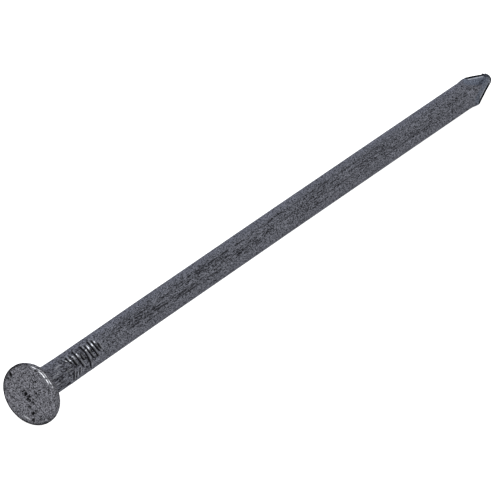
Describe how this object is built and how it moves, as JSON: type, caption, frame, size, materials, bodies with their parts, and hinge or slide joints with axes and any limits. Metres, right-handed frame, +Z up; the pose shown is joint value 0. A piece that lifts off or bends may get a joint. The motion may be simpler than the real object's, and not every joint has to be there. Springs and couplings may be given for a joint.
{
  "type": "round wire spike nail",
  "caption": "Long round steel wire spike with a thin flat head, grip marks below it and a four-sided diamond point, driven into timber with a hammer.",
  "frame": {"origin": "where the middle line of the wire meets the driving face of the head", "axes": "+X runs along the wire from the head to the point, +Z is up as the spike lies on its side, and Y is level"},
  "size_m": [0.21, 0.0153, 0.0153],
  "materials": {
    "drawn_steel": "plain drawn wire steel, uncoated, dull grey, with draw lines along the shank and a pitted, hammered driving face"
  },
  "bodies": {
    "root": {"spike": "drawn_steel"}
  },
  "joints": []
}
